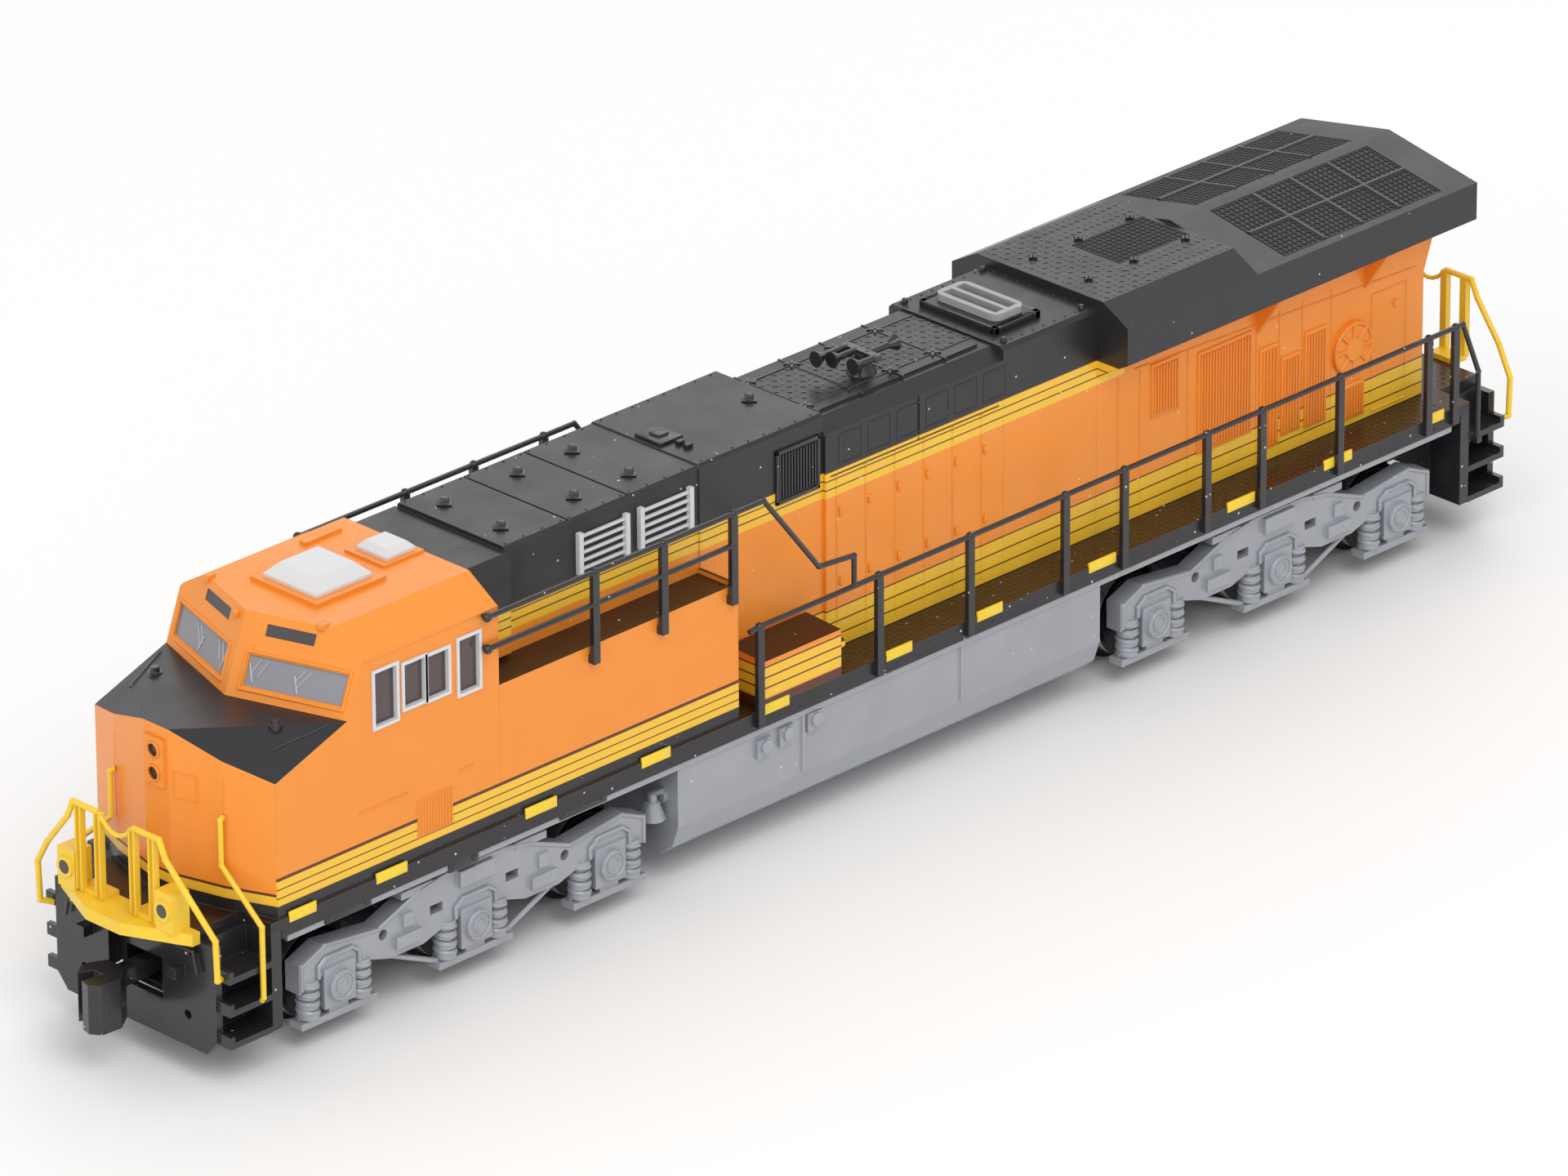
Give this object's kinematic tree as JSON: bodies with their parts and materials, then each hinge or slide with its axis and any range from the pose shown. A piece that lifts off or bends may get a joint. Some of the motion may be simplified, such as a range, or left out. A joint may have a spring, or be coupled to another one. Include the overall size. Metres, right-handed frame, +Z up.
{
  "type": "model diesel locomotive",
  "caption": "N scale model of a six-axle road diesel locomotive with split chassis, geared trucks, flywheel motor, hood shell, railings and swinging couplers.",
  "frame": {"origin": "on the plane of the wheel flange bottoms, midway between the coupler faces and the sides", "axes": "+X forwards towards the cab, +Y to the left side, +Z up"},
  "size_m": [0.1394, 0.0194, 0.0311],
  "materials": {
    "die_cast": "raw die-cast grey",
    "nylon": "natural nylon",
    "steel": "plated steel",
    "dark_wheel": "chemically blackened with bright treads",
    "copper_iron": "laminations and windings",
    "brass": "turned",
    "board_green": "solder mask",
    "led_body": "warm white emitter",
    "clear_plastic": "clear moulding",
    "black_plastic": "satin black",
    "orange_paint": "satin orange paint",
    "hood_paint": "orange, yellow and black bands",
    "white_paint": "satin white",
    "silver_paint": "satin silver paint",
    "yellow_plastic": "satin yellow",
    "mesh_black": "open mesh over black"
  },
  "bodies": {
    "underframe": {"chassis_left": "die_cast", "chassis_right": "die_cast", "chassis_fasteners": "nylon", "motor_can": "steel", "motor_end_caps": "black_plastic", "shaft_bearings": "brass", "circuit_board": "board_green", "light_emitters": "led_body", "light_guides": "clear_plastic", "walkway": "black_plastic", "underframe_plate": "silver_paint", "front_pilot": "black_plastic", "rear_pilot": "black_plastic", "cab_shell": "orange_paint", "windshields": "clear_plastic", "number_boards": "black_plastic", "window_frames": "white_paint", "side_windows": "clear_plastic", "lamp_lenses": "clear_plastic", "roof_air_units": "white_paint", "front_hood": "hood_paint", "engine_hood": "hood_paint", "exhaust_housing": "hood_paint", "radiator_housing": "hood_paint", "radiator_screens": "mesh_black", "exhaust_stack": "silver_paint", "air_horn": "black_plastic", "brake_grilles": "white_paint", "toolboxes": "hood_paint", "left_handrail": "black_plastic", "right_handrail": "black_plastic", "front_platform_rails": "yellow_plastic", "rear_platform_rails": "yellow_plastic", "front_beam": "yellow_plastic", "fuel_tank": "silver_paint", "tank_fittings": "silver_paint", "coupler_boxes": "black_plastic"},
    "drive_line": {"armature": "copper_iron", "flywheels": "brass", "worm_shafts": "steel"},
    "front_truck": {"front_truck_gearbox": "black_plastic", "front_truck_cover": "black_plastic", "front_truck_side_frames": "silver_paint"},
    "front_worm_gear": {"front_worm_gear": "nylon"},
    "front_idler_gear_1": {"front_idler_gear_1": "nylon"},
    "front_idler_gear_2": {"front_idler_gear_2": "nylon"},
    "front_wheelset_1": {"front_wheelset_1": "dark_wheel"},
    "front_wheelset_2": {"front_wheelset_2": "dark_wheel"},
    "front_wheelset_3": {"front_wheelset_3": "dark_wheel"},
    "front_coupler": {"front_coupler": "black_plastic"},
    "rear_truck": {"rear_truck_gearbox": "black_plastic", "rear_truck_cover": "black_plastic", "rear_truck_side_frames": "silver_paint"},
    "rear_worm_gear": {"rear_worm_gear": "nylon"},
    "rear_idler_gear_1": {"rear_idler_gear_1": "nylon"},
    "rear_idler_gear_2": {"rear_idler_gear_2": "nylon"},
    "rear_wheelset_1": {"rear_wheelset_1": "dark_wheel"},
    "rear_wheelset_2": {"rear_wheelset_2": "dark_wheel"},
    "rear_wheelset_3": {"rear_wheelset_3": "dark_wheel"},
    "rear_coupler": {"rear_coupler": "black_plastic"}
  },
  "joints": [
    {"name": "drive_shaft_spin", "type": "hinge", "parent": "underframe", "child": "drive_line", "pos_m": [0, 0, 0.01239], "axis": [1, 0, 0], "continuous": true},
    {"name": "front_truck_swivel", "type": "hinge", "parent": "underframe", "child": "front_truck", "pos_m": [0.0405, 0, 0.0104], "axis": [0, 0, 1], "range_deg": [-9, 9]},
    {"name": "front_worm_gear_spin", "type": "hinge", "parent": "front_truck", "child": "front_worm_gear", "pos_m": [0.0405, 0, 0.00853], "axis": [0, 1, 0], "continuous": true},
    {"name": "front_idler_gear_1_spin", "type": "hinge", "parent": "front_truck", "child": "front_idler_gear_1", "pos_m": [0.04695, 0, 0.00528], "axis": [0, 1, 0], "continuous": true},
    {"name": "front_idler_gear_2_spin", "type": "hinge", "parent": "front_truck", "child": "front_idler_gear_2", "pos_m": [0.03405, 0, 0.00528], "axis": [0, 1, 0], "continuous": true},
    {"name": "front_wheelset_1_spin", "type": "hinge", "parent": "front_truck", "child": "front_wheelset_1", "pos_m": [0.0534, 0, 0.00388], "axis": [0, 1, 0], "continuous": true},
    {"name": "front_wheelset_2_spin", "type": "hinge", "parent": "front_truck", "child": "front_wheelset_2", "pos_m": [0.0405, 0, 0.00388], "axis": [0, 1, 0], "continuous": true},
    {"name": "front_wheelset_3_spin", "type": "hinge", "parent": "front_truck", "child": "front_wheelset_3", "pos_m": [0.0276, 0, 0.00388], "axis": [0, 1, 0], "continuous": true},
    {"name": "front_coupler_swing", "type": "hinge", "parent": "underframe", "child": "front_coupler", "pos_m": [0.0604, 0, 0.006], "axis": [0, 0, 1], "range_deg": [-14, 14], "stiffness_Nm_per_rad": 0.00002},
    {"name": "rear_truck_swivel", "type": "hinge", "parent": "underframe", "child": "rear_truck", "pos_m": [-0.0405, 0, 0.0104], "axis": [0, 0, 1], "range_deg": [-9, 9]},
    {"name": "rear_worm_gear_spin", "type": "hinge", "parent": "rear_truck", "child": "rear_worm_gear", "pos_m": [-0.0405, 0, 0.00853], "axis": [0, 1, 0], "continuous": true},
    {"name": "rear_idler_gear_1_spin", "type": "hinge", "parent": "rear_truck", "child": "rear_idler_gear_1", "pos_m": [-0.03405, 0, 0.00528], "axis": [0, 1, 0], "continuous": true},
    {"name": "rear_idler_gear_2_spin", "type": "hinge", "parent": "rear_truck", "child": "rear_idler_gear_2", "pos_m": [-0.04695, 0, 0.00528], "axis": [0, 1, 0], "continuous": true},
    {"name": "rear_wheelset_1_spin", "type": "hinge", "parent": "rear_truck", "child": "rear_wheelset_1", "pos_m": [-0.0276, 0, 0.00388], "axis": [0, 1, 0], "continuous": true},
    {"name": "rear_wheelset_2_spin", "type": "hinge", "parent": "rear_truck", "child": "rear_wheelset_2", "pos_m": [-0.0405, 0, 0.00388], "axis": [0, 1, 0], "continuous": true},
    {"name": "rear_wheelset_3_spin", "type": "hinge", "parent": "rear_truck", "child": "rear_wheelset_3", "pos_m": [-0.0534, 0, 0.00388], "axis": [0, 1, 0], "continuous": true},
    {"name": "rear_coupler_swing", "type": "hinge", "parent": "underframe", "child": "rear_coupler", "pos_m": [-0.0604, 0, 0.006], "axis": [0, 0, 1], "range_deg": [-14, 14], "stiffness_Nm_per_rad": 0.00002}
  ],
  "couplings": [
    {"joint": "front_worm_gear_spin", "follows": "drive_shaft_spin", "ratio": -0.066667},
    {"joint": "front_idler_gear_1_spin", "follows": "drive_shaft_spin", "ratio": -0.035714},
    {"joint": "front_idler_gear_2_spin", "follows": "drive_shaft_spin", "ratio": -0.035714},
    {"joint": "front_wheelset_1_spin", "follows": "drive_shaft_spin", "ratio": 0.0625},
    {"joint": "front_wheelset_2_spin", "follows": "drive_shaft_spin", "ratio": 0.0625},
    {"joint": "front_wheelset_3_spin", "follows": "drive_shaft_spin", "ratio": 0.0625},
    {"joint": "rear_worm_gear_spin", "follows": "drive_shaft_spin", "ratio": -0.066667},
    {"joint": "rear_idler_gear_1_spin", "follows": "drive_shaft_spin", "ratio": -0.035714},
    {"joint": "rear_idler_gear_2_spin", "follows": "drive_shaft_spin", "ratio": -0.035714},
    {"joint": "rear_wheelset_1_spin", "follows": "drive_shaft_spin", "ratio": 0.0625},
    {"joint": "rear_wheelset_2_spin", "follows": "drive_shaft_spin", "ratio": 0.0625},
    {"joint": "rear_wheelset_3_spin", "follows": "drive_shaft_spin", "ratio": 0.0625}
  ]
}
